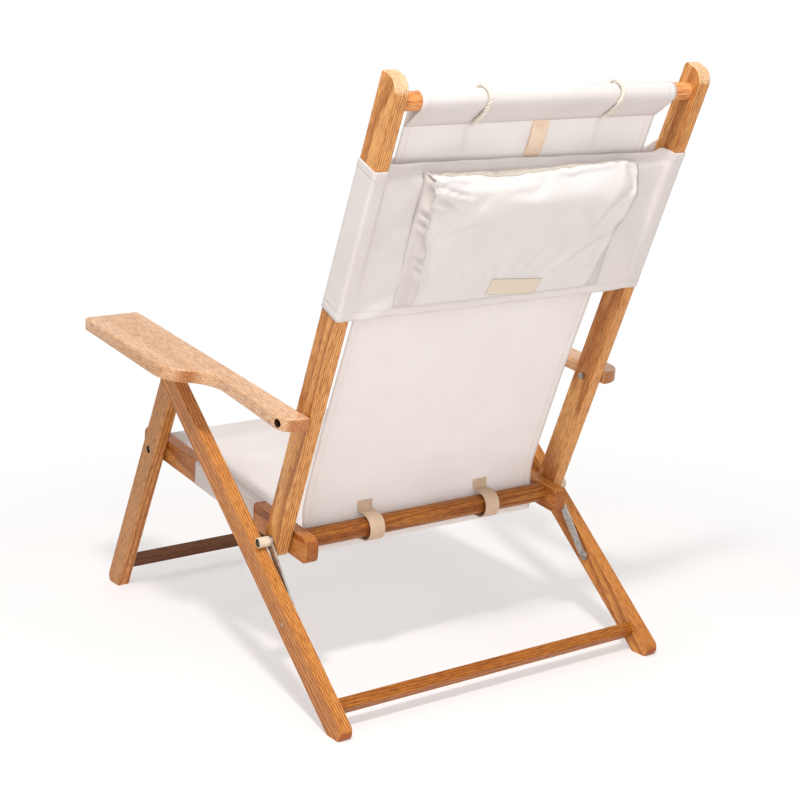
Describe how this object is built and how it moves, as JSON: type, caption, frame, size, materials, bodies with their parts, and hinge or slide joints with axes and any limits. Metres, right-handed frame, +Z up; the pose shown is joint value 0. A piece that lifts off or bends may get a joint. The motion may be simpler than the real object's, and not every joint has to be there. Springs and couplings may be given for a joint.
{
  "type": "folding beach chair",
  "caption": "Folding wooden beach chair with a canvas sling seat and back, paddle arms, crossed legs, steel links, and a padded pouch on a head band.",
  "frame": {"origin": "on the floor, under the middle of the bounding box", "axes": "+Z up, the sitter faces -Y, +X is the sitter's left"},
  "size_m": [0.693, 0.8799, 0.8803],
  "materials": {
    "hardwood": "oiled",
    "canvas": "woven cotton",
    "leather": "natural",
    "nylon": "moulded",
    "steel": "dull",
    "cord": "twisted cotton",
    "zip_tape": "tape with small teeth"
  },
  "bodies": {
    "seat_frame": {"seat_rail_left": "hardwood", "seat_rail_right": "hardwood", "front_seat_dowel": "hardwood", "rear_seat_dowel": "hardwood", "seat_canvas": "canvas", "rail_sleeve_left": "canvas", "rail_sleeve_right": "canvas", "dowel_loop_left": "leather", "dowel_loop_right": "leather", "front_pivot_bolts": "steel", "front_pivot_nuts": "steel", "front_pivot_washers": "steel", "back_pivot_bolts": "steel", "back_pivot_nuts": "steel", "back_pivot_washers": "steel", "link_washers": "steel", "nylon_spacer_left": "nylon", "nylon_spacer_right": "nylon"},
    "front_legs": {"front_leg_left": "hardwood", "front_leg_right": "hardwood", "front_crossbar": "hardwood", "top_pivot_screws": "steel"},
    "rear_legs": {"rear_leg_left": "hardwood", "rear_leg_right": "hardwood", "rear_crossbar": "hardwood", "top_pivot_barrels": "steel", "link_screws": "steel", "link_leg_washers": "steel"},
    "back_frame": {"upright_left": "hardwood", "upright_right": "hardwood", "top_dowel": "hardwood", "dowel_brads": "steel", "back_canvas": "canvas", "head_band": "canvas", "pouch": "canvas", "pouch_zip": "zip_tape", "label_tag": "leather", "centre_strap": "leather", "head_cord_left": "cord", "head_cord_right": "cord", "arm_pivot_bolts": "steel", "arm_pivot_nuts": "steel", "arm_pivot_washers": "steel"},
    "arm_left": {"arm_left": "hardwood"},
    "arm_right": {"arm_right": "hardwood"},
    "link_left": {"link_left": "steel"},
    "link_right": {"link_right": "steel"}
  },
  "joints": [
    {"name": "fold", "type": "hinge", "parent": "seat_frame", "child": "front_legs", "pos_m": [0, -0.2656, 0.268], "axis": [1, 0, 0], "range_deg": [0, 104]},
    {"name": "link_left_swing", "type": "hinge", "parent": "seat_frame", "child": "link_left", "pos_m": [0, 0.1239, 0.219], "axis": [1, 0, 0], "range_deg": [-110.4, 0]},
    {"name": "link_right_swing", "type": "hinge", "parent": "seat_frame", "child": "link_right", "pos_m": [0, 0.1239, 0.219], "axis": [1, 0, 0], "range_deg": [-110.4, 0]},
    {"name": "rear_legs_fold", "type": "hinge", "parent": "link_left", "child": "rear_legs", "pos_m": [0, 0.1972, 0.1217], "axis": [1, 0, 0], "range_deg": [0, 134.3]},
    {"name": "back_fold", "type": "hinge", "parent": "seat_frame", "child": "back_frame", "pos_m": [0, 0.1239, 0.219], "axis": [1, 0, 0], "range_deg": [0, 90.1]},
    {"name": "arm_left_swing", "type": "hinge", "parent": "back_frame", "child": "arm_left", "pos_m": [0, 0.21459, 0.41349], "axis": [1, 0, 0], "range_deg": [-89.1, 0]},
    {"name": "arm_right_swing", "type": "hinge", "parent": "back_frame", "child": "arm_right", "pos_m": [0, 0.21459, 0.41349], "axis": [1, 0, 0], "range_deg": [-89.1, 0]}
  ],
  "couplings": [
    {"joint": "link_left_swing", "follows": "fold", "ratio": -1.0615},
    {"joint": "link_right_swing", "follows": "fold", "ratio": -1.0615},
    {"joint": "rear_legs_fold", "follows": "fold", "ratio": 1.2904},
    {"joint": "back_fold", "follows": "fold", "ratio": 0.866},
    {"joint": "arm_left_swing", "follows": "fold", "ratio": -0.8561},
    {"joint": "arm_right_swing", "follows": "fold", "ratio": -0.8561}
  ]
}
